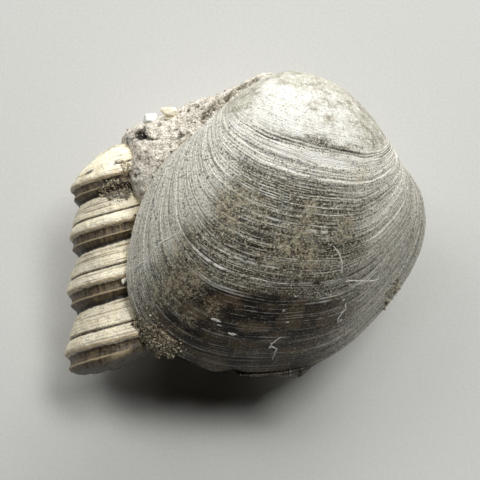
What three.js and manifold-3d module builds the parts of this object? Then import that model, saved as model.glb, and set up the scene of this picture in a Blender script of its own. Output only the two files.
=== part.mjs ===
// A fossil clam, both valves closed, in a lump of sandstone with a tower snail along its left side.
// Millimetres, +Z up. The origin is the centre of the flat fracture face that the stone rests on.
import * as THREE from "three";
import { mergeVertices } from "three/addons/utils/BufferGeometryUtils.js";
import Module from "manifold-3d";

const wasm = await Module();
wasm.setup();

// Everything that touches keeps this gap.
const GAP = 0.3;

// The clam. Its growth rings stand on the hinge: across is along the hinge, ventral is away from it
// in the plane where the valves meet, and pole is square to that plane.
const CLAM = {
  ringRadius: 27,
  // How far the ring is from a circle, as shares of its radius.
  oval: 0.065,
  skew: 0.11,
  shoulder: -0.056,
  squareness: -0.047,
  // The young rings lean the other way, by this much more at the beak.
  youngSkew: -0.06,
  // The ring's plane turns by this many degrees from the margin to the beak.
  turn: 129.5,
  turnPower: 0.86,
  // The width falls more slowly than the height, which gives the broad umbo.
  widthPower: 0.735,
  umboRise: 9.3,
  umboAside: 1.2,
  umboApart: 1.2,
  smallestRing: 0.03,
  ringSides: 44,
  rings: 15,
  // Rings are closer together near the margin.
  crowding: 1.15,
};
// The hinge's middle, and how the plane of the valves lies: low at the front, the pole to the right.
const CLAM_PLACE = new THREE.Vector3(12.7, 17.8, 28.7);
const CLAM_TURN = [11.2, 9.3, 165.1];

// The valves' chipped front edges: degrees round the ring, and how far the edge stands out there.
// The lower valve sticks out under the upper one as a ledge with a sharp corner.
const UPPER_EDGE = [
  [56, 0],
  [62, -0.8],
  [70, -0.8],
  [79, -0.1],
  [87, -1],
  [92, -0.5],
  [119, -0.3],
  [126, 0],
];
const LOWER_EDGE = [
  [56, 0],
  [62, -0.6],
  [70, -0.7],
  [79, 0],
  [87, -0.8],
  [92, 0.5],
  [105, 0.6],
  [119, 1.8],
  [125, 0.2],
  [130, 0],
];

// The tower snail, four whorls of a longer shell: its cone, whorl by whorl, from the missing tip.
const SNAIL = {
  halfAngle: 5.95,
  whorlRatio: 1.122,
  // Distances from the missing tip to the keel at the left and to both broken ends.
  keel: 113.6,
  top: 76.4,
  base: 112.8,
  // Both ends are broken along the ribs, so they reach this much farther down at the left.
  slant: 3,
  // They are worn to domes of these heights, drawn with a row at each of these shares of the radius.
  topDome: 4.5,
  baseDome: 3.5,
  domeRows: [0.35, 0.7, 0.92],
  // Its axis leans left towards the missing tip, and rises from the table.
  lean: 4,
  rise: 14,
  sides: 28,
};
const SNAIL_PLACE = new THREE.Vector3(-23.6, -25.3, 13.6);
// One whorl from suture to suture: share of its height, and radius as a share of the keel's.
const WHORL = [
  [0, 0.79],
  [0.13, 0.84],
  [0.365, 0.915],
  [0.41, 0.885],
  [0.465, 0.945],
  [0.6, 0.99],
  [0.65, 1],
  [0.745, 0.925],
  [0.85, 0.95],
  [0.93, 0.88],
];
const KEEL_SHARE = 0.65;

// The stone: a lump bounded by rough breaks, each a plane at a distance from its middle point.
const STONE = {
  middle: new THREE.Vector3(-4, 5, 13),
  // How far the edges between breaks are rounded off.
  soften: 2,
  sidesRound: 48,
  sidesUp: 28,
  // The unevenness of the breaks: broad swells and small lumps.
  swells: 1.1,
  lumps: 0.7,
};
const BREAKS = [
  // The steep break at the back left, and the face above it that slopes up to the clam's hinge.
  { towards: [-0.36, 0.93, 0.1], away: 21.3 },
  { towards: [-0.3, 0.3, 0.9], away: 22.4 },
  // Behind and under the umbo.
  { towards: [0.85, 0.5, 0.1], away: 23.5 },
  { towards: [1, -0.1, 0.15], away: 22 },
  // Under the clam's front edge, and between the clam and the snail.
  { towards: [0.1, -1, 0.1], away: 21 },
  { towards: [-0.95, -0.3, 0.1], away: 16.7 },
  // Level with the hinge at the back and below the valves' edge in front.
  { towards: [0.16, -0.45, 0.88], away: 13.3 },
  // The foot, undercut all round.
  { towards: [-0.5, 0.6, -0.62], away: 20 },
  { towards: [0.7, 0.35, -0.62], away: 20 },
  { towards: [0.35, -0.75, -0.55], away: 20 },
  { towards: [-0.75, -0.2, -0.62], away: 19 },
];

// Broken bits of shell in the stone: where each sits and its half sizes.
const POCKET_SCALE = 1.35;
const FRAGMENTS = [
  { name: "white_fragment", at: [-18, 20.1, 27.3], half: [1.3, 1.1, 0.9], color: 0xe4e6df },
  { name: "cream_fragment", at: [-14.2, 21.5, 27.7], half: [1.6, 0.9, 0.8], color: 0xcdbf98 },
  { name: "grey_fragment", at: [-22, 15.6, 27.1], half: [0.9, 1.1, 0.8], color: 0x6b6a66 },
];

const SHELL_MATERIAL = { color: 0x7d786c, roughness: 0.5, metalness: 0 };
const LOWER_MATERIAL = { color: 0x6f695d, roughness: 0.55, metalness: 0 };
const SNAIL_MATERIAL = { color: 0xb9ab8e, roughness: 0.7, metalness: 0 };
const STONE_MATERIAL = { color: 0xa39a8e, roughness: 0.95, metalness: 0 };

const rad = THREE.MathUtils.degToRad;

// The ring's own outline: a circle with a few slow waves, standing on the hinge line.
function ringOutline(angle, young) {
  const wave =
    1 +
    CLAM.oval * Math.cos(2 * angle) +
    (CLAM.skew + CLAM.youngSkew * young) * Math.sin(2 * angle) +
    CLAM.shoulder * Math.sin(3 * angle) +
    CLAM.squareness * Math.cos(4 * angle);
  return [CLAM.ringRadius * wave * Math.cos(angle), CLAM.ringRadius * wave * Math.sin(angle)];
}

function lowestOfRing(young) {
  let lowest = 0;
  for (let i = 0; i < 4 * CLAM.ringSides; i++) {
    lowest = Math.min(lowest, ringOutline((i * Math.PI) / (2 * CLAM.ringSides), young)[1]);
  }
  return lowest;
}

// A point of a valve, at an angle round the ring and at a ring's size, 1 at the margin and 0 at the beak.
function valvePoint(angle, size, umboApart) {
  const width = size ** CLAM.widthPower;
  const young = 1 - width;
  const [across, along] = ringOutline(angle, young);
  const fromHinge = size * (along - lowestOfRing(young));
  const turned = rad(CLAM.turn) * (1 - size ** CLAM.turnPower);
  return [
    across * width + CLAM.umboAside * young,
    fromHinge * Math.cos(turned) - CLAM.umboRise * young,
    fromHinge * Math.sin(turned) + umboApart * young,
  ];
}

// Straight lines between the points of a list.
function between(list, at) {
  const next = list.findIndex(([x]) => x > at);
  if (next < 1) return 0;
  const [x0, y0] = list[next - 1];
  const [x1, y1] = list[next];
  return y0 + ((y1 - y0) * (at - x0)) / (x1 - x0);
}

// The angles round a ring, in degrees: even steps, and the corners of the chipped edge.
function ringAngles(edge) {
  const step = 360 / CLAM.ringSides;
  const even = Array.from({ length: CLAM.ringSides }, (_, i) => i * step);
  const clear = even.filter((angle) => edge.every(([at]) => Math.abs(at - angle) > step / 2));
  return [...clear, ...edge.map(([at]) => at)].sort((a, b) => a - b);
}

// A closed surface from rows of points that run the same way round, with a point at each end.
// Once round, a row meets the row that nextRow gives: its own, or the next whorl's on a spiral.
function closedRows(rows, first, last, nextRow = (row) => row) {
  const sides = rows[0].length;
  const points = [first, ...rows.flat(), last];
  const faces = [];
  const at = (row, side) => 1 + (side < sides ? row * sides + side : nextRow(row) * sides);
  for (let side = 0; side < sides; side++) {
    faces.push(0, at(0, side + 1), at(0, side));
    faces.push(points.length - 1, at(rows.length - 1, side), at(rows.length - 1, side + 1));
    for (let row = 0; row + 1 < rows.length; row++) {
      faces.push(at(row, side), at(row, side + 1), at(row + 1, side));
      faces.push(at(row, side + 1), at(row + 1, side + 1), at(row + 1, side));
    }
  }
  const geometry = new THREE.BufferGeometry();
  geometry.setAttribute("position", new THREE.Float32BufferAttribute(points.flat(), 3));
  geometry.setIndex(faces);
  return geometry;
}

// One valve as a solid. side is 1 for the upper valve and -1 for the lower one.
function valveGeometry(side, edge, { umboApart = CLAM.umboApart, lift = GAP / 2 } = {}) {
  const rows = [];
  const angles = ringAngles(edge);
  if (side < 0) angles.reverse();
  // The first row is the edge's own outline, down on the plane where the valves meet.
  for (let row = -1; row < CLAM.rings; row++) {
    const share = Math.max(row, 0) / (CLAM.rings - 1);
    const ring = [];
    for (const angle of angles) {
      const margin = 1 + between(edge, angle) / (2 * CLAM.ringRadius);
      const size =
        CLAM.smallestRing + (margin - CLAM.smallestRing) * (1 - share ** CLAM.crowding);
      const [across, ventral, pole] = valvePoint(rad(angle), size, umboApart);
      const height = row < 0 ? 0 : Math.max(pole, 0);
      ring.push([across, ventral, side * (height + lift)]);
    }
    rows.push(ring);
  }
  const last = rows[rows.length - 1];
  const beak = [0, 1, 2].map((k) => last.reduce((sum, p) => sum + p[k], 0) / last.length);
  return closedRows(rows, [0, CLAM.ringRadius, side * lift], beak);
}

// The whorl's radius as a share of the keel's, where the phase counts whorls along the cone.
function whorlShare(phase) {
  const f = phase - Math.floor(phase);
  return between([...WHORL, [1, WHORL[0][1]]], f);
}

// The snail as a solid: its rows follow the spiral, so each rib is one row of corners.
function snailGeometry(grown = 0) {
  const slope = Math.tan(rad(SNAIL.halfAngle));
  const logRatio = Math.log(SNAIL.whorlRatio);
  const phaseAt = (distance, turn) =>
    Math.log(distance / SNAIL.keel) / logRatio - (turn - 0.5) + KEEL_SHARE;
  const top = SNAIL.top - grown;
  const base = SNAIL.base + grown;
  const firstWhorl = Math.floor(phaseAt(top - SNAIL.slant, 1)) - 1;
  const lastWhorl = Math.ceil(phaseAt(base + SNAIL.slant, 0)) + 1;
  const ring = (distanceOf, scale) => {
    const points = [];
    for (let i = 0; i < SNAIL.sides; i++) {
      const turn = i / SNAIL.sides;
      const distance = distanceOf(turn);
      const share = whorlShare(phaseAt(distance, turn));
      const radius = scale * (distance * slope * share + grown);
      const angle = 2 * Math.PI * turn;
      points.push([radius * Math.cos(angle), SNAIL.keel - distance, radius * Math.sin(angle)]);
    }
    return points;
  };
  const slantAt = (turn, share) => -share * SNAIL.slant * Math.cos(2 * Math.PI * turn);
  const domeRow = (end, height, share) =>
    ring((turn) => end + slantAt(turn, share) + height * Math.sqrt(1 - share * share), share);
  // Each spiral row has one phase all the way round. Where it would pass an end, it stops there.
  const spiral = [];
  for (let whorl = firstWhorl; whorl <= lastWhorl; whorl++) {
    for (const [f] of WHORL) {
      const distanceOf = (turn) => {
        const onSpiral = SNAIL.keel * Math.exp(logRatio * (whorl + f - KEEL_SHARE + turn - 0.5));
        const slanted = slantAt(turn, 1);
        return THREE.MathUtils.clamp(onSpiral, top + slanted, base + slanted);
      };
      spiral.push(ring(distanceOf, 1));
    }
  }
  const topRows = SNAIL.domeRows.map((share) => domeRow(top, -SNAIL.topDome, share));
  const baseRows = [...SNAIL.domeRows].reverse().map((share) => domeRow(base, SNAIL.baseDome, share));
  const lastSpiral = topRows.length + spiral.length - 1;
  const axisPoint = (distance) => [0, SNAIL.keel - distance, 0];
  return closedRows(
    [...topRows, ...spiral, ...baseRows],
    axisPoint(top - SNAIL.topDome),
    axisPoint(base + SNAIL.baseDome),
    (row) =>
      row < topRows.length || row > lastSpiral ? row : Math.min(row + WHORL.length, lastSpiral),
  );
}

// The stone's lump: distance from its middle in each direction, flat where it would pass below zero.
function stoneGeometry() {
  const { middle, soften, sidesRound, sidesUp, swells, lumps } = STONE;
  const breaks = BREAKS.map(({ towards, away }) => ({
    normal: new THREE.Vector3(...towards).normalize(),
    away,
  }));
  // The nearest break in a direction, with the corner between two of them rounded.
  const distance = (d) => {
    let near = 0;
    for (const { normal, away } of breaks) {
      const facing = d.dot(normal);
      if (facing > 0) near += Math.exp(-away / facing / soften);
    }
    const uneven =
      swells * Math.sin(5 * d.x + 3 * d.z) * Math.cos(4 * d.y - 2 * d.x + 1) +
      lumps * Math.sin(9 * d.x + 2) * Math.sin(11 * d.y + 1) * Math.cos(10 * d.z);
    return uneven - soften * Math.log(near);
  };
  const pointAt = (round, up) => {
    const d = new THREE.Vector3().setFromSphericalCoords(1, up, round);
    // Spherical coordinates count from +Y, so the axes are swapped to count from +Z.
    const dir = new THREE.Vector3(d.x, d.z, d.y);
    let r = distance(dir);
    const toFloor = dir.z < 0 ? middle.z / -dir.z : Infinity;
    const flat = r >= toFloor;
    if (flat) r = toFloor;
    const p = dir.multiplyScalar(r).add(middle);
    return [p.x, p.y, flat ? 0 : p.z];
  };
  const rows = [];
  for (let row = 1; row < sidesUp; row++) {
    const ring = [];
    for (let i = 0; i < sidesRound; i++) {
      ring.push(pointAt((2 * Math.PI * i) / sidesRound, (Math.PI * row) / sidesUp));
    }
    rows.push(ring);
  }
  return closedRows(rows, pointAt(0, 0), pointAt(0, Math.PI));
}

// A broken bit of shell: a low faceted lump with uneven corners.
function fragmentGeometry([x, y, z], scale = 1) {
  const geometry = new THREE.IcosahedronGeometry(1, 1);
  const position = geometry.getAttribute("position");
  for (let i = 0; i < position.count; i++) {
    const [px, py, pz] = [position.getX(i), position.getY(i), position.getZ(i)];
    const uneven = 1 + 0.12 * Math.sin(5 * px + 3 * py) + 0.1 * Math.cos(4 * pz - 3 * px);
    position.setXYZ(i, px * x * uneven * scale, py * y * uneven * scale, pz * z * uneven * scale);
  }
  return geometry;
}

// A closed geometry as a manifold-3d solid, in the group's own frame, and back again.
function solidOf(geometry, matrix = new THREE.Matrix4()) {
  const bare = geometry.clone().applyMatrix4(matrix);
  bare.deleteAttribute("normal");
  bare.deleteAttribute("uv");
  const merged = mergeVertices(bare, 1e-4);
  const kept = [];
  const index = merged.index.array;
  for (let i = 0; i < index.length; i += 3) {
    const [a, b, c] = [index[i], index[i + 1], index[i + 2]];
    if (a !== b && b !== c && c !== a) kept.push(a, b, c);
  }
  return new wasm.Manifold(
    new wasm.Mesh({
      numProp: 3,
      vertProperties: merged.attributes.position.array,
      triVerts: new Uint32Array(kept),
    }),
  );
}

function geometryOf(solid) {
  const mesh = solid.getMesh();
  const geometry = new THREE.BufferGeometry();
  geometry.setAttribute("position", new THREE.Float32BufferAttribute(mesh.vertProperties, 3));
  geometry.setIndex(Array.from(mesh.triVerts));
  geometry.computeVertexNormals();
  return geometry;
}

function largestOf(solid) {
  const pieces = solid.decompose();
  pieces.sort((a, b) => b.volume() - a.volume());
  return pieces[0];
}

function meshOf(name, geometry, material) {
  const mesh = new THREE.Mesh(geometry, new THREE.MeshStandardMaterial(material));
  mesh.name = name;
  return mesh;
}

// The clam's frame: both valves share it.
const clam = new THREE.Group();
clam.position.copy(CLAM_PLACE);
clam.rotation.set(...CLAM_TURN.map(rad));
clam.updateMatrix();
const upper = solidOf(valveGeometry(1, UPPER_EDGE));
const lower = solidOf(valveGeometry(-1, LOWER_EDGE));
clam.add(meshOf("upper_valve", geometryOf(upper), SHELL_MATERIAL));
clam.add(meshOf("lower_valve", geometryOf(lower), LOWER_MATERIAL));

// The room that the closed clam takes in the stone, a gap larger than the clam all round.
const clamMiddle = new THREE.Vector3(0, 0.8 * CLAM.ringRadius, 0);
const valveDepth = 0.58 * CLAM.ringRadius;
const roomScale = 1 + GAP / valveDepth;
const roomMatrix = clam.matrix
  .clone()
  .multiply(new THREE.Matrix4().makeTranslation(...clamMiddle))
  .multiply(new THREE.Matrix4().makeScale(roomScale, roomScale, roomScale))
  .multiply(new THREE.Matrix4().makeTranslation(...clamMiddle.clone().negate()));
// The narrow groove between the two umbones holds no stone, so copies that meet there fill it.
const clamRoom = [1, -1]
  .flatMap((side) => [
    solidOf(valveGeometry(side, [], { lift: 0 }), roomMatrix),
    solidOf(valveGeometry(side, [], { lift: 0, umboApart: 0 }), roomMatrix),
  ])
  .reduce((room, valve) => room.add(valve));

// The snail lies on its side with its missing tip to the back.
const snail = new THREE.Group();
snail.position.copy(SNAIL_PLACE);
snail.rotation.set(rad(SNAIL.rise), 0, rad(SNAIL.lean));
snail.updateMatrix();
const snailSolid = largestOf(
  solidOf(snailGeometry(), snail.matrix).subtract(clamRoom),
).transform(snail.matrix.clone().invert().toArray());
snail.add(meshOf("tower_snail", geometryOf(snailSolid), SNAIL_MATERIAL));

let stone = solidOf(stoneGeometry())
  .subtract(clamRoom)
  .subtract(solidOf(snailGeometry(GAP), snail.matrix));
const fragments = FRAGMENTS.map(({ name, at, half, color }) => {
  const mesh = meshOf(name, geometryOf(solidOf(fragmentGeometry(half))), {
    color,
    roughness: 0.6,
    metalness: 0,
  });
  mesh.position.set(...at);
  mesh.updateMatrix();
  stone = stone.subtract(solidOf(fragmentGeometry(half, POCKET_SCALE), mesh.matrix));
  return mesh;
});

const fossil = new THREE.Group();
fossil.add(clam);
fossil.add(snail);
fossil.add(meshOf("matrix", geometryOf(largestOf(stone)), STONE_MATERIAL));
fossil.add(...fragments);

export default fossil;
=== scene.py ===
"""A fossil clam in a lump of sandstone, with a tower snail along its left side, on a pale studio floor.

Places and sizes are in millimetres and degrees in the part's own frame, and become metres in the meshes.
Each surface is a formula over a grid of two parameters, worked out by numpy as whole arrays.
"""

from itertools import combinations

import bpy
import numpy as np
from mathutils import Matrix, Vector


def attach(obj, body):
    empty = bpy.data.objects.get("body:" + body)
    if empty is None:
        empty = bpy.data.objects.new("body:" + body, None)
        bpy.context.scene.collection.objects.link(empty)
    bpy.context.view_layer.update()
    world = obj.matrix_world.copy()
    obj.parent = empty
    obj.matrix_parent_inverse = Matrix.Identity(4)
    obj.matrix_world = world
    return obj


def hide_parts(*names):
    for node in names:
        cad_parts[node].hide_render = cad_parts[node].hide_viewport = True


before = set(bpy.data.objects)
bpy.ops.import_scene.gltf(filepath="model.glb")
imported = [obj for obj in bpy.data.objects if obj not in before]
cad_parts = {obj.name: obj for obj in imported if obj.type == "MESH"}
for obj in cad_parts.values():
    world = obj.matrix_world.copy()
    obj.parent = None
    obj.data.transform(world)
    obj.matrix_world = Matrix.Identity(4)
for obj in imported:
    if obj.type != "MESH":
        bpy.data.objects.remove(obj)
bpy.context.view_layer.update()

MM = 0.001

# The clam: growth rings that stand on the hinge and turn about it as they get smaller.
RING_RADIUS = 27.0
OVAL, SKEW, SHOULDER, SQUARENESS = 0.065, 0.11, -0.056, -0.047
YOUNG_SKEW = -0.06
TURN, TURN_POWER = 129.5, 0.86
WIDTH_POWER = 0.735
UMBO_RISE, UMBO_ASIDE, UMBO_APART = 9.3, 1.2, 1.2
SMALLEST_RING = 0.03
CROWDING = 1.2
CLAM_PLACE = (12.7, 17.8, 28.7)
CLAM_TURN = (11.2, 9.3, 165.1)
# Half the hairline between the valves.
HAIRLINE = 0.04
# The chipped front edges: degrees round the ring, and how far the edge stands out there.
UPPER_EDGE = [(56, 0), (62, -0.8), (70, -0.8), (79, -0.1), (87, -1), (92, -0.5), (119, -0.3), (126, 0)]
LOWER_EDGE = [
    (56, 0), (62, -0.6), (70, -0.7), (79, 0), (87, -0.8), (92, 0.5), (105, 0.6), (119, 1.8),
    (125, 0.2), (130, 0),
]
# Where growth stopped for a while: ring size and depth of the groove.
GROWTH_STOPS = [
    (0.458, 0.12), (0.466, 0.16), (0.474, 0.20), (0.483, 0.18), (0.503, 0.06), (0.520, 0.10), (0.538, 0.10),
    (0.556, 0.06), (0.578, 0.08), (0.600, 0.06), (0.622, 0.08), (0.645, 0.06), (0.668, 0.08), (0.692, 0.06),
    (0.715, 0.08), (0.740, 0.08), (0.764, 0.20), (0.785, 0.08), (0.806, 0.06), (0.830, 0.08), (0.852, 0.06),
    (0.875, 0.08), (0.897, 0.09), (0.915, 0.06), (0.934, 0.09), (0.950, 0.07), (0.966, 0.09), (0.982, 0.07),
]
GROOVE_HALF_WIDTH, USUAL_DEPTH = 0.20, 0.12
# Growth lines between them: pitch across and length along the ring, and height.
GROWTH_LINES = [(0.5, 26, 0.035), (1.0, 40, 0.055), (3.2, 50, 0.080)]
# Where the colour changes: ring sizes, and the degrees round the ring in which the dark front fades. The pale
# season below the umbo is partly bleaching and partly a painted sheen.
UMBO_EDGE, BLEACHED_AND_SHEEN_SEASON, DARK_FROM = (0.425, 0.475), 0.496, 0.800
FRONT_LEFT, FRONT_RIGHT = (42, 64), (108, 150)
# Tan and olive stains: degrees round the ring, ring size and radius in millimetres.
STAINS = [
    (55, 0.659, 3.2), (70, 0.641, 3), (86, 0.677, 3.6), (95, 0.68, 2.6), (122, 0.65, 2.8), (96, 0.621, 2.4),
    (52, 0.838, 3.8), (68, 0.851, 2.4), (42, 0.898, 1.4), (40, 0.80, 3.4), (104, 0.72, 2.4), (46, 0.86, 2.8),
    (60, 0.89, 2.0), (36, 0.84, 1.6), (12, 0.40, 2.2), (20, 0.36, 1.8), (30, 0.43, 1.6), (116, 0.31, 1.8),
    (122, 0.37, 1.8), (84, 0.35, 2.2), (97, 0.385, 1.8), (130, 0.52, 2.0),
]

# The tower snail: a cone from its missing tip, with whorls on a spiral.
SNAIL_SLOPE = np.tan(np.radians(5.95))
WHORL_RATIO = 1.122
# Distances from the missing tip: of the lowest keel at the left, and of the two ends.
SNAIL_KEEL, SNAIL_TOP, SNAIL_BASE = 113.6, 76.4, 112.8
# The ends are broken along the ribs, this much farther down at the left, and worn to domes.
SNAIL_SLANT = 3.0
TOP_DOME, BASE_DOME = 4.5, 3.5
SNAIL_TURN = (14, 0, 4)
SNAIL_PLACE = (-23.6, -25.3, 13.6)
# A patch of dark sandy mud on the first whorl: turn round the axis and distance from the missing tip.
MUD_TURN, MUD_HALF_TURN = 0.214, 0.085
MUD_DISTANCE, MUD_HALF_LENGTH = 80.8, 2.4
# One whorl from suture to suture: share of its height, and radius as a share of the keel's.
WHORL = [
    (0, 0.785), (0.03, 0.80), (0.08, 0.83), (0.16, 0.865), (0.26, 0.90), (0.36, 0.94), (0.385, 0.935),
    (0.410, 0.895), (0.435, 0.935), (0.47, 0.965), (0.53, 0.99), (0.60, 1.0), (0.645, 0.985), (0.67, 0.945),
    (0.70, 0.905), (0.76, 0.89), (0.81, 0.90), (0.84, 0.925), (0.865, 0.905), (0.89, 0.86), (0.94, 0.81),
    (1, 0.785),
]
# The same shares for the keel, its upper edge, the underside, the thin rib and the suture.
KEEL_SHARE, KEEL_EDGE, UNDERSIDE, THIN_RIB, SUTURE = 0.65, 0.63, (0.665, 0.69), 0.838, (0.90, 0.97)
# Fine threads on the slope above the groove: share of the whorl's height, and height in millimetres.
THREADS = [
    (0.05, 0.08), (0.10, 0.10), (0.155, 0.11), (0.21, 0.13), (0.265, 0.11), (0.315, 0.14), (0.50, 0.08),
    (0.56, 0.08),
]
THREAD_HALF_WIDTH = 0.011

# The stone: a lump bounded by rough breaks, each a direction and a distance from its middle.
STONE_MIDDLE = (-4.0, 5.0, 13.0)
STONE_SOFTEN = 2.0
STONE_BREAKS = [
    ((-0.36, 0.93, 0.1), 21.3), ((-0.3, 0.3, 0.9), 22.4), ((0.85, 0.5, 0.1), 23.5), ((1, -0.1, 0.15), 22),
    ((0.1, -1, 0.1), 21), ((-0.95, -0.3, 0.1), 16.7), ((0.16, -0.45, 0.88), 13.3), ((-0.5, 0.6, -0.62), 20),
    ((0.7, 0.35, -0.62), 20), ((0.35, -0.75, -0.55), 20), ((-0.75, -0.2, -0.62), 19),
]
# Dark hollows in the stone's upper break: place, radius and depth.
HOLLOWS = [
    ((-19.8, 16.6, 28.9), 0.8, 1.0), ((-19.3, 15.6, 29.4), 0.6, 0.8), ((-18.5, 15.2, 29.8), 0.5, 0.6),
    ((-15.7, 9.4, 29.8), 0.6, 0.6), ((-14.6, 11.0, 29.9), 0.6, 0.6), ((-11.9, 15.2, 30.9), 0.5, 0.4),
    ((-9.9, 18.2, 30.5), 0.5, 0.4), ((-11.2, 20.8, 29.8), 0.5, 0.5), ((-8.6, 22.4, 30.0), 0.6, 0.5),
]
# The olive-dark seam between the stone and the umbo, and the cream patch round one of the bits of shell.
SEAM = [
    (-6.6, 19.8, 31), (-5, 21.4, 31), (-3.8, 22.2, 31.3), (-2.6, 22.9, 31.6), (-1.4, 23.8, 31.5),
    (0, 25, 31.3), (1.6, 25.6, 31.9), (3, 26.4, 32),
]
CREAM_PATCH = (-14.2, 21.3, 28.3)

# Broken bits of shell in the stone: place, half sizes, pale, deep and silt colour, and roughness.
FRAGMENTS = [
    ("white", (-18, 20.1, 27.3), (1.3, 1.1, 0.9), ("#fafaf6", "#e3e5de", "#b5b5aa"), 0.5),
    ("cream", (-14.2, 21.5, 27.7), (1.6, 0.9, 0.8), ("#faf5e3", "#efe6ca", "#c9bc98"), 0.7),
    ("grey", (-22, 15.6, 27.1), (0.9, 1.1, 0.8), ("#8b8981", "#5a5851", "#3a3833"), 0.6),
]

# Hair-thin healed cracks in the upper valve, as points of degrees round the ring and ring size.
CRACKS = [
    [(24, 0.984), (29, 0.91), (30, 0.865), (30, 0.842), (36, 0.783), (37, 0.768)],
    [(116, 0.682), (122, 0.705), (124, 0.723), (126, 0.75)],
    [(129, 0.77), (140, 0.788), (158, 0.838)],
    [(101.6, 0.887), (99.8, 0.896), (98.7, 0.905), (98, 0.916), (101.4, 0.917), (101.8, 0.951)],
    [(134, 0.834), (134, 0.848), (132.5, 0.863), (131, 0.879)],
]
CRACK_HALF_WIDTH, CRACK_HEIGHT = 0.19, 0.09
# White chips on the upper valve: degrees round the ring, ring size, half length and half width.
CHIPS = [
    (70, 0.868, 0.95, 0.36), (72, 0.876, 0.5, 0.16), (79, 0.889, 0.75, 0.30), (102, 0.851, 0.4, 0.24),
    (131.5, 0.821, 0.35, 0.24), (133, 0.878, 0.4, 0.22), (98, 0.823, 0.3, 0.15), (101.5, 0.791, 0.3, 0.12),
]

# The very small shell in the nook between the two fossils.
TINY_SNAIL_TURN, TINY_SNAIL_PLACE = (-38, 28, 200), (-22.7, -13.5, 26.7)

# Sand crusts on the upper valve: how many grains, degrees round the ring, ring size, height and scatter.
CLAM_CRUSTS = [
    (1700, (47, 62), (0.970, 1.0), (-0.10, 0.35), 0.12),
    (900, (49, 60), (0.955, 0.985), (-0.08, 0.2), 0.14),
    (150, (40, 66), (0.94, 1.0), (-0.05, 0.1), 0.12),
    (700, (42, 58), (1.0, 1.02), (-0.6, 0.2), 0.2),
    (110, (167, 178), (0.93, 1.0), (-0.05, 0.2), 0.1),
    (300, (-75, 10), (0.985, 1.01), (-0.5, 0.05), 0.2),
]
# Sand crusts on the snail: how many grains, turn and half range, distance and half range, and height.
SNAIL_CRUSTS = [
    (420, MUD_TURN, MUD_HALF_TURN, MUD_DISTANCE, MUD_HALF_LENGTH, (-0.15, 0.3)),
    (160, 0.175, 0.02, 76.5, 1.6, (-0.1, 0.2)),
]


def noise(points, seed, octaves=1):
    """Smooth noise from about -1 to 1: a random value at each corner of unit cubes, blended between them by
    3t^2 - 2t^3. Each further octave has half the pitch and half the height. Each pattern has its own seed."""
    total = 0.0
    for octave in range(octaves):
        place = points * 2.0**octave
        cell = np.floor(place).astype(np.int64)
        t = place - cell
        t = t * t * (3 - 2 * t)
        value = 0.0
        for corner in np.ndindex(2, 2, 2):
            mixed = np.full(cell.shape[:-1], (seed + octave) * 374761393 & 0xFFFFFFFF, np.uint32)
            for axis, prime in enumerate((73856093, 19349663, 83492791)):
                index = ((cell[..., axis] + corner[axis]) * prime & 0xFFFFFFFF).astype(np.uint32)
                mixed = (mixed ^ index) * np.uint32(2246822519)
                mixed = mixed ^ (mixed >> np.uint32(15))
            weight = np.prod(np.where(corner, t, 1 - t), axis=-1)
            value = value + weight * (mixed / 4294967295.0)
        total = total + (2 * value - 1) / 2**octave
    return total


def ease(low, high, x):
    """0 below low, 1 above high, and a smooth step between them."""
    t = np.clip((x - low) / (high - low), 0, 1)
    return t * t * (3 - 2 * t)


def bell(middle, half_width, x):
    """1 at the middle, and next to nothing from two half widths away."""
    return np.exp(-(((x - middle) / half_width) ** 2))


def unit(vectors):
    """The vectors at length 1."""
    return vectors / np.maximum(np.linalg.norm(vectors, axis=-1, keepdims=True), 1e-9)


def turned(degrees):
    """The matrix of a turn about X, then the turned Y, then the turned Z."""
    matrix = np.eye(3)
    for axis, angle in enumerate(np.radians(degrees)):
        i, j = [(1, 2), (2, 0), (0, 1)][axis]
        step = np.eye(3)
        step[i, i] = step[j, j] = np.cos(angle)
        step[i, j], step[j, i] = -np.sin(angle), np.sin(angle)
        matrix = matrix @ step
    return matrix


def outward(points, faces):
    """The faces, turned over if the closed surface's volume comes out negative."""
    corners = points[faces]
    volume = np.einsum("ij,ij->", corners[:, 0], np.cross(corners[:, 1], corners[:, 2]))
    return faces if volume > 0 else faces[:, ::-1]


def closed_surface(grid, masks=None, first=None, last=None):
    """The points, triangles and masks of a grid whose columns run round and close, with a point that closes
    each end, by default the middle of its end row. Masks are grids of values for the same points."""
    first = grid[0].mean(0) if first is None else first
    last = grid[-1].mean(0) if last is None else last
    rows, columns = grid.shape[:2]
    row, column = np.meshgrid(np.arange(rows - 1), np.arange(columns), indexing="ij")
    a = (row * columns + column).ravel()
    b = (row * columns + (column + 1) % columns).ravel()
    around = np.arange(columns)
    ahead = (around + 1) % columns
    base = (rows - 1) * columns
    faces = np.concatenate([
        np.stack([a, b, a + columns], -1),
        np.stack([b, b + columns, a + columns], -1),
        np.stack([np.full(columns, rows * columns), ahead, around], -1),
        np.stack([np.full(columns, rows * columns + 1), base + around, base + ahead], -1),
    ])
    points = np.vstack([grid.reshape(-1, 3), [first], [last]])
    values = {}
    for key, mask in (masks or {}).items():
        ends = np.stack([mask[0].mean(0), mask[-1].mean(0)])
        values[key] = np.concatenate([mask.reshape(rows * columns, *mask.shape[2:]), ends])
    return points, outward(points, faces), values


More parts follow.
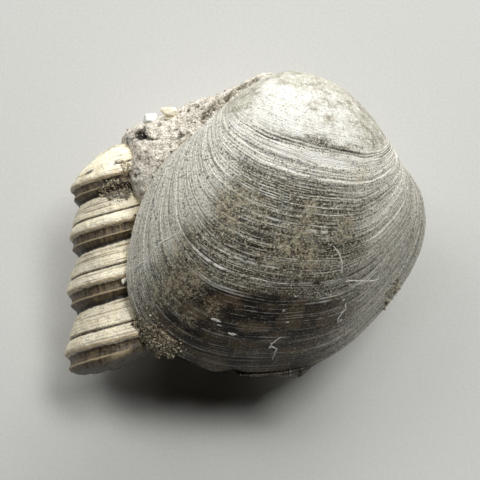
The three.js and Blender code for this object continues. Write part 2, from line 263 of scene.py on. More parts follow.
def add_piece(name, surface, material, slot, *stands_for, smooth=True):
    """Puts a surface in millimetres into a mesh that rides on the part, each mask as a point attribute."""
    points, faces, masks = surface
    mesh = bpy.data.meshes.new(name)
    mesh.vertices.add(len(points))
    mesh.vertices.foreach_set("co", (points * MM).astype(np.float32).ravel())
    mesh.loops.add(faces.size)
    mesh.loops.foreach_set("vertex_index", np.ascontiguousarray(faces, np.int32).ravel())
    mesh.polygons.add(len(faces))
    mesh.polygons.foreach_set("loop_start", np.arange(0, faces.size, 3, dtype=np.int32))
    mesh.polygons.foreach_set("use_smooth", np.full(len(faces), smooth))
    mesh.update(calc_edges=True)
    for key, values in masks.items():
        kind, field = ("FLOAT_VECTOR", "vector") if values.ndim == 2 else ("FLOAT", "value")
        mesh.attributes.new(key, kind, "POINT").data.foreach_set(field, values.astype(np.float32).ravel())
    mesh.materials.append(material)
    piece = bpy.data.objects.new(name, mesh)
    bpy.context.scene.collection.objects.link(piece)
    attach(piece, "root")
    if stands_for:
        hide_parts(*stands_for)


# The clam's surface

def ring_outline(angle, young):
    """A circle with a few slow waves. Young rings lean the other way."""
    wave = (
        1 + OVAL * np.cos(2 * angle) + (SKEW + YOUNG_SKEW * young) * np.sin(2 * angle)
        + SHOULDER * np.sin(3 * angle) + SQUARENESS * np.cos(4 * angle)
    )
    return RING_RADIUS * wave * np.cos(angle), RING_RADIUS * wave * np.sin(angle)


# How far the outline reaches past the hinge, from the margin's ring to the youngest.
YOUNG = np.linspace(-0.1, 1, 45)
LOWEST = ring_outline(np.linspace(0, 2 * np.pi, 361)[:, None], YOUNG[None, :])[1].min(0)


def valve_point(angle, size):
    """Across the hinge, away from it, and out along the pole: the ring stands on the hinge line, scaled by
    its size, its plane turned about the hinge by an amount that grows towards the beak."""
    width = size**WIDTH_POWER
    young = 1 - width
    across, along = ring_outline(angle, young)
    from_hinge = size * (along - np.interp(young, YOUNG, LOWEST))
    turn = np.radians(TURN) * (1 - size**TURN_POWER)
    return np.stack([
        across * width + UMBO_ASIDE * young,
        from_hinge * np.cos(turn) - UMBO_RISE * young,
        from_hinge * np.sin(turn) + UMBO_APART * young,
    ], -1)


# The length of shell grown from the beak to each ring size, down the middle of the valve.
SIZES = np.linspace(0, 1.06, 320)
SPINE = valve_point(np.full_like(SIZES, np.pi / 2), SIZES)
GROWN = np.concatenate([[0], np.cumsum(np.linalg.norm(np.diff(SPINE, axis=0), axis=1))])


def growth(angle, size):
    """Pattern coordinates that follow the rings: two round the ring, and the length of shell grown since the
    beak, which wavers a little, in millimetres."""
    grown = np.interp(size, SIZES, GROWN)
    ring = RING_RADIUS * np.stack([np.cos(angle), np.sin(angle)], -1)
    waver = noise(np.concatenate([ring / 9, grown[..., None] / 7], -1), 5, 2)
    return np.concatenate([ring, (grown + 0.3 * waver)[..., None]], -1)


def growth_relief(rings, size):
    """Height of the growth lines: noise that is long along the ring and short across it, at three pitches,
    and a groove with a low ridge below it at each growth stop, whose strength comes and goes along the ring.
    The umbo is worn smooth. Also gives how deep in a groove and how high on a ridge each point is."""
    ring, grown = rings[..., :2], rings[..., 2:]
    height = groove = ridge = 0.0
    for index, (pitch, length, amount) in enumerate(GROWTH_LINES):
        height = height + amount * noise(np.concatenate([ring / length, grown / pitch], -1), 11 + index)
    for index, (stop, depth) in enumerate(GROWTH_STOPS):
        along = np.concatenate([ring / 8, 0 * grown + 3.7 * index], -1)
        strength = np.clip(0.75 + 0.9 * noise(along, 21), 0, 1.6) * depth
        away = (grown[..., 0] - np.interp(stop, SIZES, GROWN)) / GROOVE_HALF_WIDTH
        groove = groove + strength * bell(0, 1, away)
        ridge = ridge + strength * bell(1.8, 1, away)
    unworn = ease(0.41, 0.47, size) * (1 - 0.75 * ease(10, 23, ring[..., 0]) * (1 - ease(0.47, 0.52, size)))
    return (height + 0.6 * ridge - groove) * unworn, groove * unworn, ridge * unworn


def normals_of(grid, out):
    """Unit normals of a grid whose columns run round, from the differences between neighbours, on the side
    where the vectors out point."""
    round_ = np.roll(grid, -1, axis=1) - np.roll(grid, 1, axis=1)
    normal = unit(np.cross(round_, np.gradient(grid, axis=0)))
    return normal * np.sign(np.sum(normal * out))


CLAM_MATRIX = turned(CLAM_TURN)


def in_clam(points, side=1):
    """Points of the clam's own frame in the part's frame. The lower valve is the mirrored one."""
    mirrored = points * (1, 1, side) + (0, 0, side * HAIRLINE)
    return mirrored @ CLAM_MATRIX.T + CLAM_PLACE


def valve_skin(angle, size, above=0.0):
    """Points of the upper valve's surface, with their outward normals, for what lies on the shell."""
    step = 0.004
    point = valve_point(angle, size)
    round_ = valve_point(angle + step, size) - valve_point(angle - step, size)
    along = valve_point(angle, size + step) - valve_point(angle, size - step)
    normal = unit(np.cross(round_, along))
    normal = normal * np.where(normal[..., 2:] < 0, -1, 1)
    relief = growth_relief(growth(angle, size), size)[0]
    point = point + normal * (relief + above)[..., None]
    return in_clam(point), normal @ CLAM_MATRIX.T


def valve(name, side, edge, columns, rows, material, slot):
    """One valve as a closed surface: rings from the margin to the beak, and the flat face between the
    valves. Masks: growth is the pattern coordinates, tone is how worn, stained and dark the shell is, the
    worn umbo painted pale partly for its wear and partly as a painted highlight, and lines is how deep in a
    groove, how high on a ridge and how pale the shell is painted, partly for bleaching and partly as a
    painted sheen."""
    angle = np.radians(np.linspace(-90, 270, columns, endpoint=False))[None, :]
    margin = 1 + np.interp(np.degrees(angle), *np.transpose(edge)) / (2 * RING_RADIUS)
    share = np.linspace(0, 1, rows)[:, None]
    size = SMALLEST_RING + (margin - SMALLEST_RING) * (1 - share**CROWDING)
    angle = angle + 0 * size
    grid = valve_point(angle, size)
    rings = growth(angle, size)
    normal = normals_of(grid, grid - grid.mean((0, 1)))
    # The relief fades towards the hinge and the beak, where the valves meet.
    clear = ease(6, 16, np.abs(np.degrees(angle) + 90)) * ease(0.08, 0.14, size)
    relief, groove, ridge = growth_relief(rings, size)
    relief = relief + 0.05 * noise(grid / 2.2, 31, 2) * ease(0.1, 0.2, size)
    grid = grid + normal * (relief * clear)[..., None]
    grid[..., 2] = np.maximum(grid[..., 2], 0)
    grid = in_clam(np.concatenate([grid[:1] * (1, 1, 0), grid]), side)
    centre = in_clam(np.array([0, RING_RADIUS, 0.0]), side)
    flank = flank_of_shell(angle, size, rings)
    lines = np.stack([groove / USUAL_DEPTH, ridge / USUAL_DEPTH, flank], -1)
    masks = {"growth": rings, "tone": tone_of_shell(angle, size, rings), "lines": lines}
    masks = {key: np.concatenate([mask[:1], mask]) for key, mask in masks.items()}
    add_piece(name, closed_surface(grid, masks, first=centre), material, slot, name)


def tone_of_shell(angle, size, rings):
    """Three shares from 0 to 1: worn is the rubbed umbo, painted pale partly for its wear and partly as a
    painted highlight, stained is the tan mottling, and dark is the last seasons' growth, which is nearly
    black below the strongest growth stop."""
    degrees = np.degrees(angle)
    ragged = noise(rings / (7, 7, 3), 41, 3)
    wavy = degrees + 6 * ragged
    right = ease(*FRONT_RIGHT, wavy)
    worn = 1 - ease(*UMBO_EDGE, size - 0.06 * (1 - ease(8, 50, degrees)) + 0.02 * ragged)
    stained = 0.0
    for at, ring, radius in STAINS:
        across = (angle - np.radians(at)) * RING_RADIUS * ring
        away = np.hypot(across, (size - ring) * 2.1 * RING_RADIUS) / radius
        stained = np.maximum(stained, 1 - ease(0.2, 1.1, away + 0.4 * ragged))
    beak = 0.8 * (1 - ease(0.25, 0.36, size + 0.05 * ragged))
    rim_of_umbo = np.maximum(1 - ease(10, 48, wavy), right) * worn
    stained = np.maximum.reduce([stained, beak, rim_of_umbo])
    front = ease(*FRONT_LEFT, wavy) * (1 - right)
    edge_of_dark = DARK_FROM - 0.016 * ease(60, 90, degrees) + 0.02 * ease(90, 120, degrees)
    dark = ease(edge_of_dark - 0.012, edge_of_dark + 0.022, size + 0.006 * ragged) * front
    dark = dark * (1 - 0.35 * ease(0.86, 0.90, size) * ease(82, 100, degrees))
    return np.stack([worn, stained, dark], -1)


def flank_of_shell(angle, size, rings):
    """How pale the shell is painted, partly for bleaching and partly as a painted sheen: most, above 1, in
    the season below the umbo, then on the left flank, and some on the right flank and just above the dark
    front."""
    degrees = np.degrees(angle)
    ragged = noise(rings / (9, 9, 3), 42, 3)
    wavy = degrees + 10 * ragged
    left = 1 - ease(-10, 9, degrees + 5 * ragged - 52 + 42 * (size - 0.5))
    right = ease(112, 160, wavy) * (0.6 + 0.4 * (1 - ease(0.62, 0.76, size)))
    shoulder = 0.75 * ease(104, 132, wavy) * (1 - ease(0.54, 0.66, size + 0.02 * ragged))
    # The season below the umbo is painted palest: partly bleaching, partly a painted highlight.
    season = bell(BLEACHED_AND_SHEEN_SEASON, 0.026, size) * (1.4 + 0.4 * ragged)
    after = 1.1 * bell(BLEACHED_AND_SHEEN_SEASON + 0.037, 0.018, size)
    stop = 0.25 * bell(DARK_FROM - 0.028, 0.012, size) * ease(60, 80, degrees)
    return np.maximum.reduce([left, right, shoulder, season, after, stop])


# The tower snail's surface

def whorl_table():
    """Shares of the whorl's height, its profile with the threads, rounded by a narrow bell curve that wraps,
    and how many millimetres it lies below its average over a wide one."""
    steps = 2000
    share = np.arange(steps) / steps
    profile = np.interp(share, *np.transpose(WHORL))
    keel_radius = SNAIL_KEEL * SNAIL_SLOPE
    for at, height in THREADS:
        profile = profile + height / keel_radius * bell(at, THREAD_HALF_WIDTH, share)
    smooth, average = [
        np.convolve(np.tile(profile, 3), weights / weights.sum(), "same")[steps : 2 * steps]
        for weights in (bell(0, 18, np.arange(-60, 61)), bell(0, 130, np.arange(-400, 401)))
    ]
    return share, smooth, (average - smooth) * keel_radius


SHARE, PROFILE, SUNKEN = whorl_table()
SNAIL_MATRIX = turned(SNAIL_TURN)


def in_snail(points):
    """Points of the snail's own frame, whose Y is its axis, in the part's frame."""
    return points @ SNAIL_MATRIX.T + SNAIL_PLACE


def snail_skin(turn, distance):
    """The spiral phase of a place on the cone, the snail's radius there, and the direction from its axis."""
    phase = np.log(distance / SNAIL_KEEL) / np.log(WHORL_RATIO) - (turn - 0.5) + KEEL_SHARE
    radius = distance * SNAIL_SLOPE * np.interp(phase % 1, SHARE, PROFILE)
    angle = 2 * np.pi * turn
    return phase, radius, np.stack([np.cos(angle), 0 * angle, np.sin(angle)], -1)


def beside_axis(radius, towards, distance):
    """The place at a radius from the snail's axis, level with a distance from its missing tip."""
    return radius[..., None] * towards + (SNAIL_KEEL - distance)[..., None] * (0, 1, 0)


def snail(columns, rows, cap_rows, material):
    """The snail as a closed surface: distance from the missing tip by turn round the axis, both ends slanted
    and domed, worn at the top and broken at the base. Masks: whorl is how sunken, how far under the keel and
    how broken a place is, spiral is where it is round the axis and along the whorl, and band is how near it
    is to the keel's edge, to the suture and to the thin rib between them."""
    turn = np.linspace(0, 1, columns, endpoint=False)[None, :]
    slant = -SNAIL_SLANT * np.cos(2 * np.pi * turn)
    share = np.pad(np.linspace(0, 1, rows), cap_rows, "edge")[:, None]
    inner = np.linspace(0.03, 0.97, cap_rows)
    inward = np.concatenate([inner, np.ones(rows), inner[::-1]])[:, None]
    end = np.repeat([-TOP_DOME, 0, BASE_DOME], [cap_rows, rows, cap_rows])[:, None]
    rim = SNAIL_TOP + (SNAIL_BASE - SNAIL_TOP) * share + slant
    distance = rim + (inward - 1) * slant + end * np.sqrt(1 - inward**2)
    turn = turn + 0 * rim
    phase, radius, towards = snail_skin(turn, np.where(end < 0, distance, rim))
    place = beside_axis(radius, towards, distance)
    angle = 2 * np.pi * turn
    spiral = np.stack([6 * np.cos(angle), 6 * np.sin(angle), 12 * phase], -1)
    radius = radius + 0.16 * noise(place / 2.4, 51, 3) + 0.08 * noise(place / 0.7, 52, 2)
    radius = radius + 0.05 * noise(spiral / (0.35, 0.35, 9), 53, 2)
    place = beside_axis(radius * inward, towards, distance)
    broken = (1 - inward**6) * (end > 0)
    place[..., 1] = place[..., 1] - (0.5 * noise(place / 1.8, 54, 3) - 0.3) * broken
    grid = in_snail(place)
    at = phase % 1
    sunken = np.interp(at, SHARE, SUNKEN) * (1 - broken)
    ragged = 0.012 * noise(place / 0.9, 55, 2)
    wavy = at + ragged
    whole = np.where(end < 0, ease(0.86, 0.99, inward), 1)
    under = ease(*UNDERSIDE, wavy) * whole
    keel = bell(KEEL_EDGE, 0.03, wavy)
    rib = bell(THIN_RIB, 0.018, at + 0.5 * ragged)
    # The suture mask paints the crease between the whorls nearly black, partly silt and partly painted shade;
    # it also carries the patch of mud.
    suture = np.maximum(ease(*SUTURE, wavy), 1 - ease(0.0, 0.03, wavy)) * whole
    mud = np.hypot((turn - MUD_TURN) / MUD_HALF_TURN, (distance - MUD_DISTANCE) / MUD_HALF_LENGTH)
    mud = 1 - ease(0.75, 1.05, mud + 0.4 * noise(place / 1.1, 56, 2))
    suture = np.maximum(suture, 0.85 * mud)
    masks = {
        "whorl": np.stack([sunken, under, broken + 0 * phase], -1),
        "spiral": spiral,
        "band": np.stack([keel, suture, rib], -1),
    }
    add_piece("tower_snail_shell", closed_surface(grid, masks), material, "snail_shell", "tower_snail")


# The stone and the bits in it

def to_breaks(direction, breaks, soften):
    """How far from the middle the nearest break plane is in each direction, with the corners rounded."""
    near = 0.0
    for towards, away in breaks:
        facing = direction @ unit(np.array(towards))
        ahead = np.maximum(facing, 1e-6)
        near = near + np.where(facing > 0, np.exp(-away / ahead / soften), 0)
    return -soften * np.log(near)


def directions(columns, rows):
    """Unit directions over the whole sphere, a row for each polar angle, with the poles left to the ends."""
    up = (np.pi * np.arange(1, rows) / rows)[:, None]
    round_ = (2 * np.pi * np.arange(columns) / columns)[None, :]
    return np.stack([np.sin(up) * np.sin(round_), np.sin(up) * np.cos(round_), np.cos(up) + 0 * round_], -1)


def stone(columns, rows, material):
    """The stone: the distance to its breaks plus swells and lumps as in the part, and over that rough noise
    down to single grains. It stays flat where it rests. Mask: marks is how deep in a pit the place is, how
    near to the seam, and how near to the cream patch. Gives its grid of places, with their normals."""
    d = directions(columns, rows)
    swells = 1.1 * np.sin(5 * d[..., 0] + 3 * d[..., 2]) * np.cos(4 * d[..., 1] - 2 * d[..., 0] + 1)
    lumps = 0.7 * np.sin(9 * d[..., 0] + 2) * np.sin(11 * d[..., 1] + 1) * np.cos(10 * d[..., 2])
    reach = to_breaks(d, STONE_BREAKS, STONE_SOFTEN) + swells + lumps
    place = STONE_MIDDLE + d * reach[..., None]
    rough = 0.26 * noise(place / 2.4, 61, 2) + 0.20 * noise(place / 0.9, 62, 2)
    rough = rough + 0.08 * noise(place / 0.5, 67)
    ragged = noise(place / 0.7, 64, 2)
    crevice = np.maximum(noise(place / (1.5, 1.2, 0.9), 63, 3) - 0.72, 0) * 1.1
    for at, radius, depth in HOLLOWS:
        away = np.linalg.norm(place - at, axis=-1) * (1 + 0.6 * ragged)
        crevice = crevice + depth * bell(0, radius, away)
    seam = np.min([np.linalg.norm(place - at, axis=-1) for at in SEAM], axis=0)
    seam = 1 - ease(0.4, 1.7, seam + 0.7 * ragged)
    crevice = crevice + 0.9 * seam * np.maximum(ragged, 0)
    cream = 1 - ease(0.8, 2.4, np.linalg.norm(place - CREAM_PATCH, axis=-1) + 0.6 * ragged)
    reach = reach + rough - crevice
    to_floor = np.where(d[..., 2] < 0, STONE_MIDDLE[2] / np.maximum(-d[..., 2], 1e-6), np.inf)
    place = STONE_MIDDLE + d * np.minimum(reach, to_floor)[..., None]
    place[..., 2] = np.where(reach < to_floor, np.maximum(place[..., 2], 0), 0)
    masks = {"marks": np.stack([np.clip(crevice, 0, 1), seam, cream], -1)}
    add_piece("sandstone", closed_surface(place, masks), material, "sandstone", "matrix")
    return place, normals_of(place, d)


def fragment(name, middle, half, seed, material):
    """A broken bit of shell: a box of six slanted breaks, with six more in random directions, all at shares
    of its half sizes. No corner reaches farther than 1.3 of them."""
    rng = np.random.default_rng(seed)
    breaks = [(unit(rng.normal(size=3)), rng.uniform(0.8, 1)) for _ in range(6)]
    breaks += [
        (side * unit(rng.normal(size=3) * 0.25 + axis), 0.95) for axis in np.eye(3) for side in (1, -1)
    ]
    d = directions(72, 40)
    shape = d * np.minimum(to_breaks(d, breaks, 0.035), 1.3)[..., None]
    shape = shape * (1 + 0.03 * noise(shape / 0.18, seed, 2))[..., None]
    surface = closed_surface(middle + shape * half)
    add_piece(name + "_bit", surface, material, name + "_shell_bit", name + "_fragment")


def icosahedron():
    """The twelve corners and twenty faces of a small regular solid, found as its nearest threes."""
    golden = (1 + 5**0.5) / 2
    corners = np.array([np.roll((0, a, b * golden), k) for k in range(3) for a in (1, -1) for b in (1, -1)])
    gaps = np.linalg.norm(corners[:, None] - corners[None], axis=-1)
    faces = np.array([
        face for face in combinations(range(12), 3) if max(gaps[edge] for edge in combinations(face, 2)) < 2.1
    ])
    corners = corners / np.linalg.norm(corners[0])
    a, b, c = np.moveaxis(corners[faces], 1, 0)
    flip = np.einsum("ij,ij->i", np.cross(b - a, c - a), a + b + c) < 0
    faces[flip] = faces[flip][:, ::-1]
    return corners, faces


GRAIN, GRAIN_FACES = icosahedron()


def grains(name, centres, radii, seed, material):
    """Many angular grains in one mesh: each is a twenty-sided solid with its own stretch, turn and uneven
    corners. Mask: kind is a random share for each grain, which its colour follows."""
    rng = np.random.default_rng(seed)
    count, each = len(centres), len(GRAIN)
    spins, _ = np.linalg.qr(rng.normal(size=(count, 3, 3)))
    spins = spins * np.linalg.det(spins)[:, None, None]
    corners = GRAIN[None] * rng.uniform(0.75, 1.15, (count, each, 1)) * rng.uniform(0.6, 1.2, (count, 1, 3))
    points = np.einsum("nij,nkj->nki", spins, corners) * radii[:, None, None] + centres[:, None]
    faces = GRAIN_FACES[None] + each * np.arange(count)[:, None, None]
    surface = points.reshape(-1, 3), faces.reshape(-1, 3), {"kind": np.repeat(rng.random(count), each)}
    add_piece(name, surface, material, "sandstone", smooth=False)


def stone_grains(grid, normals, material):
    """Grains that stand proud of the stone: places drawn at random from its grid, more in the upper break."""
    rng = np.random.default_rng(91)
    points, normals = grid.reshape(-1, 3), normals.reshape(-1, 3)
    upper = np.flatnonzero((points[:, 2] > 22) & (points[:, 0] < 6) & (points[:, 1] > 0))
    rest = np.flatnonzero((points[:, 2] > 1) & (points[:, 2] <= 22))
    chosen = np.concatenate([rng.choice(upper, 5200), rng.choice(rest, 3000)])
    radii = 0.08 + 0.20 * rng.random(len(chosen)) ** 2
    centres = points[chosen] + rng.normal(0, 0.12, (len(chosen), 3)) - 0.25 * radii[:, None] * normals[chosen]
    centres[:, 2] = np.maximum(centres[:, 2], 0.5)
    grains("stone_grains", centres, radii, 92, material)


def crust_grains(material):
    """Sand crusts: grains at random places on the clam's margin at the lower left and the right, in the seam
    between the clam and the stone, and on the snail's first whorl."""
    rng = np.random.default_rng(93)
    centres = []
    for count, angles, sizes, above, spread in CLAM_CRUSTS:
        angle = np.radians(rng.uniform(*angles, count))
        place, _ = valve_skin(angle, rng.uniform(*sizes, count), rng.uniform(*above, count))
        centres.append(place + rng.normal(0, spread, (count, 3)))
    for count, turn, half_turn, distance, half_length, above in SNAIL_CRUSTS:
        reach, swing = np.sqrt(rng.random(count)), rng.uniform(0, 2 * np.pi, count)
        turns = turn + half_turn * reach * np.cos(swing)
        distances = distance + half_length * reach * np.sin(swing)
        _, radius, towards = snail_skin(turns, distances)
        centres.append(in_snail(beside_axis(radius + rng.uniform(*above, count), towards, distances)))
    places = np.concatenate(centres)
    radii = 0.07 + 0.26 * rng.random(len(places)) ** 2.5
    grains("crust_grains", places, radii, 94, material)


def ribbon(centres, normals, half_width, height):
    """A low half-round strip along a line of points on a surface, thinner at its ends."""
    ahead = unit(np.gradient(centres, axis=0))
    across = np.cross(ahead, normals)
    profile = np.linspace(0, np.pi, 6)
    taper = np.sin(np.linspace(0.15, np.pi - 0.15, len(centres)))[:, None, None] ** 0.4
    side = np.cos(profile)[None, :, None] * half_width * across[:, None]
    rise = (np.sin(profile)[None, :, None] * (height + 0.06) - 0.06) * normals[:, None]
    grid = centres[:, None] + taper * side + rise
    return closed_surface(grid)


def joined(parts):
    """Several surfaces without masks as one."""
    starts = np.cumsum([0] + [len(part[0]) for part in parts[:-1]])
    faces = np.concatenate([part[1] + start for part, start in zip(parts, starts)])
    return np.concatenate([part[0] for part in parts]), faces, {}


def cracks(material):
    """The healed cracks: each line of points is refined, wanders a little and lies on the shell."""
    parts = []
    for index, line in enumerate(CRACKS):
        degrees, size = np.transpose(line)
        share = np.linspace(0, len(line) - 1, 24 * (len(line) - 1) + 1)
        wander = noise(np.stack([share * 2.3, 0 * share, 0 * share + index], -1), 71, 2)
        angle = np.radians(np.interp(share, np.arange(len(line)), degrees) + 0.5 * wander)
        ring = np.interp(share, np.arange(len(line)), size) + 0.002 * wander
        parts.append(ribbon(*valve_skin(angle, ring), CRACK_HALF_WIDTH, CRACK_HEIGHT))
    add_piece("healed_cracks", joined(parts), material, "shell_upper")


def chips(material):
    """White chips that lie flat on the shell: small discs with a ragged rim, long along the growth lines."""
    parts = []
    for index, (degrees, size, half_length, half_width) in enumerate(CHIPS):
        centre, normal = valve_skin(np.radians([degrees]), np.array([size]))
        beside, _ = valve_skin(np.radians([degrees + 0.5]), np.array([size]))
        long = unit(beside - centre)
        short = np.cross(normal, long)
        round_ = np.linspace(0, 2 * np.pi, 24, endpoint=False)
        cos, sin = np.cos(round_), np.sin(round_)
        ragged = 1 + 0.35 * noise(np.stack([cos * 2, sin * 2, 0 * cos + index], -1), 72, 2)
        out = (np.array([1.0, 0.8, 0.4])[:, None] * ragged)[..., None]
        flat = long * cos[None, :, None] * half_length + short * sin[None, :, None] * half_width
        grid = centre + out * flat + normal * np.array([-0.06, 0.05, 0.07])[:, None, None]
        under, top = centre[0] - 0.12 * normal[0], centre[0] + 0.08 * normal[0]
        parts.append(closed_surface(grid, None, under, top))
    add_piece("white_chips", joined(parts), material, "shell_upper")


def tiny_snail(material):
    """A very small shell in the nook between the two fossils: a round tube that widens along a spiral and
    climbs its axis, closed at its mouth by a cap painted dark as the shade inside the opening. Mask: mouth
    is 1 on the cap."""
    rows, columns = 70, 20
    along = np.linspace(0, 1, rows)[:, None]
    round_ = np.linspace(0, 2 * np.pi, columns, endpoint=False)[None, :]
    scale = 0.12 + 0.88 * along**1.5
    swing = 2 * np.pi * 3.2 * along
    away = np.stack([np.cos(swing), np.sin(swing), 0 * swing], -1)
    up = np.array([0, 0, 1.0])
    tube = 0.36 * scale[..., None]
    grid = (
        0.34 * scale[..., None] * away + up * (1 - scale[..., None]) * 1.5
        + tube * (np.cos(round_)[..., None] * away + np.sin(round_)[..., None] * up)
    )
    mouth = grid[-1].mean(0)
    inner = mouth + (grid[-1] - mouth) * np.array([0.75, 0.6, 0.2])[:, None, None]
    sunk = np.cross(up, away[-1, 0]) * np.array([0.0, 0.12, 0.2])[:, None, None]
    grid = np.concatenate([grid, inner - sunk])
    # The cap is painted dark as the shade inside the mouth.
    dark = np.repeat([0, 0.3, 1], [rows, 1, 2])[:, None] + np.zeros(columns)
    grid = grid @ turned(TINY_SNAIL_TURN).T + TINY_SNAIL_PLACE
    add_piece("tiny_snail", closed_surface(grid, {"mouth": dark}), material, "white_shell_bit")


# Materials

def linear(hex_color):
    """An sRGB hex colour as linear red, green, blue and alpha."""
    srgb = np.array([int(hex_color[i : i + 2], 16) / 255 for i in (1, 3, 5)])
    return (*np.where(srgb <= 0.04045, srgb / 12.92, ((srgb + 0.055) / 1.055) ** 2.4), 1)


def add(tree, kind, inputs=None, out=0, **settings):
    """Adds one node and gives its output socket. Inputs are values, or sockets of other nodes to link."""
    made = tree.nodes.new("ShaderNode" + kind)
    for key, value in settings.items():
        setattr(made, key, value)
    for key, value in (inputs or {}).items():
        if isinstance(value, bpy.types.NodeSocket):
            tree.links.new(value, made.inputs[key])
        else:
            made.inputs[key].default_value = value
    return made.outputs[out] if made.outputs else None


def layered(tree, ground, layers):
    """Colours laid over a ground, each as (colour, pattern, low, high, most): where the pattern rises from
    low to high, the colour's share rises from 0 to most. Any further patterns in a layer scale its share."""
    color = linear(ground)
    for above, pattern, low, high, most, *where in layers:
        limits = {"Value": pattern, "From Min": low, "From Max": high, "To Max": most}
        share = add(tree, "MapRange", limits, interpolation_type="SMOOTHSTEP")
        for other in where:
            share = add(tree, "Math", {0: share, 1: other}, operation="MULTIPLY")
        above = linear(above) if isinstance(above, str) else above
        color = add(tree, "Mix", {0: share, 6: color, 7: above}, 2, data_type="RGBA")
    return color


def finished(name, roughness, ior, recipe, *colors):
    """A material with a principled shader. Its recipe gets the node tree, the place on the object and the
    colours, and gives the base colour, the height of the fine relief and its depth in millimetres."""
    material = bpy.data.materials.new(name)
    material.use_nodes = True
    tree = material.node_tree
    tree.nodes.clear()
    color, height, depth = recipe(tree, add(tree, "TexCoord", out="Object"), *colors)
    normal = add(tree, "Bump", {"Height": height, "Distance": depth * MM, "Strength": 1.0})
    settings = {"Base Color": color, "Normal": normal, "Roughness": roughness, "IOR": ior}
    add(tree, "OutputMaterial", {"Surface": add(tree, "BsdfPrincipled", settings)})
    return material


def fossil_calcite(tree, body, ground, brown, black):
    """Mineralised clam shell, satin grey-brown calcite that sand has rubbed. The eye sees hair-fine pale and
    dark lines along the growth rings, speckled where silt has stayed in them, the grooves of the growth
    stops darkened partly for silt and partly as painted shade, tan mottling, a flank painted pale partly for
    bleaching and partly as a painted sheen, and a pitted, pale, shiny umbo, pale partly from wear and partly
    as a painted highlight. The real lines are finer than the render shows, so their pattern repeats every
    0.26 to 0.28 mm."""
    rings, tone, lines = [
        add(tree, "Attribute", out="Vector", attribute_name=name) for name in ("growth", "tone", "lines")
    ]
    worn, stained, dark, groove, ridge, flank = [
        add(tree, "SeparateXYZ", {0: mask}, axis) for mask in (tone, lines) for axis in range(3)
    ]
    calm = add(tree, "Math", {0: stained, 1: -0.6, 2: 1.0}, operation="MULTIPLY_ADD")
    calm = add(tree, "Math", {0: dark, 1: -0.65, 2: calm}, operation="MULTIPLY_ADD", use_clamp=True)
    hair, line, band, patch = [
        add(tree, "TexNoise", {
            "Vector": add(tree, "VectorMath", {0: rings, 1: 1 / np.array(sizes)}, operation="MULTIPLY"),
            "Scale": 1.0, "Detail": detail, "Roughness": 0.6,
        })
        for sizes, detail in (
            ((22, 22, 0.26), 2), ((36, 36, 0.28), 1), ((40, 40, 2.0), 2), ((5, 5, 3), 4),
        )
    ]
    dust, fleck, cloud = [
        add(tree, "TexNoise", {"Vector": body, "Scale": 1 / (pitch * MM), "Detail": detail, "Roughness": 0.6})
        for pitch, detail in ((0.36, 2), (0.9, 3), (2.0, 3))
    ]
    patchy = add(tree, "Math", {0: cloud, 1: 6.0, 2: -2.4}, operation="MULTIPLY_ADD", use_clamp=True)
    return layered(tree, ground, [
        (brown, patch, 0.42, 0.58, 0.85),
        ("#8b8b76", patch, 0.47, 0.36, 0.65),
        ("#8f8c79", band, 0.52, 0.62, 0.35),
        # Painted sheen and bleaching: the flank mask paints the shell pale on the flanks and in the season
        # below the umbo.
        ("#f3f0e3", flank, 0, 1, 0.97),
        (black, band, 0.47, 0.36, 0.2),
        ("#9a917a", cloud, 0.46, 0.60, 0.65, stained),
        (black, line, 0.46, 0.36, 0.62, calm),
        (black, hair, 0.47, 0.36, 0.55, calm),
        ("#dcd7c5", hair, 0.54, 0.64, 0.7, calm),
        (black, fleck, 0.44, 0.32, 0.65),
        ("#c9c4b0", fleck, 0.55, 0.66, 0.45),
        (black, dust, 0.47, 0.35, 0.75),
        ("#e5dfcb", dust, 0.55, 0.66, 0.75),
        # Above 1 the flank mask is the season below the umbo: a painted highlight as well as bleaching.
        ("#f1efe8", flank, 1.0, 1.5, 0.65),
        ("#30251b", dark, 0, 1, 0.97),
        ("#66573f", patch, 0.48, 0.60, 0.7, dark),
        ("#94866d", dust, 0.54, 0.64, 0.6, dark),
        ("#0c0807", patch, 0.50, 0.40, 0.85, dark),
        ("#0c0807", line, 0.46, 0.38, 0.6, dark),
        ("#c0b394", fleck, 0.48, 0.60, 0.55, stained),
        ("#cabfa2", dust, 0.50, 0.62, 0.6, stained),
        # Painted shade: the grooves of the growth stops are darkened, partly for silt in them and partly to
        # stand in for their shade.
        (black, groove, 0.4, 1.4, 0.8),
        ("#f5f3ea", line, 0.60, 0.66, 0.9, calm, patchy),
        ("#e2dece", ridge, 0.7, 1.6, 0.3, calm, patchy),
        ("#efece2", dust, 0.68, 0.74, 0.9),
        # The umbo is painted pale: partly the wear of its rubbed shell, partly a painted highlight.
        (layered(tree, "#dcdad1", [
            ("#aaa691", stained, 0, 1, 0.75),
            ("#aca792", cloud, 0.50, 0.64, 0.35),
            ("#77705a", cloud, 0.46, 0.62, 0.7, stained),
            ("#5d5645", fleck, 0.42, 0.30, 0.4),
            ("#f0eee7", fleck, 0.54, 0.64, 0.6),
            ("#4a4435", dust, 0.43, 0.32, 0.6),
            ("#f5f3ec", dust, 0.58, 0.70, 0.5),
        ]), worn, 0, 1, 1),
    ]), add(tree, "Math", {0: hair, 1: dust}, operation="ADD"), 0.14


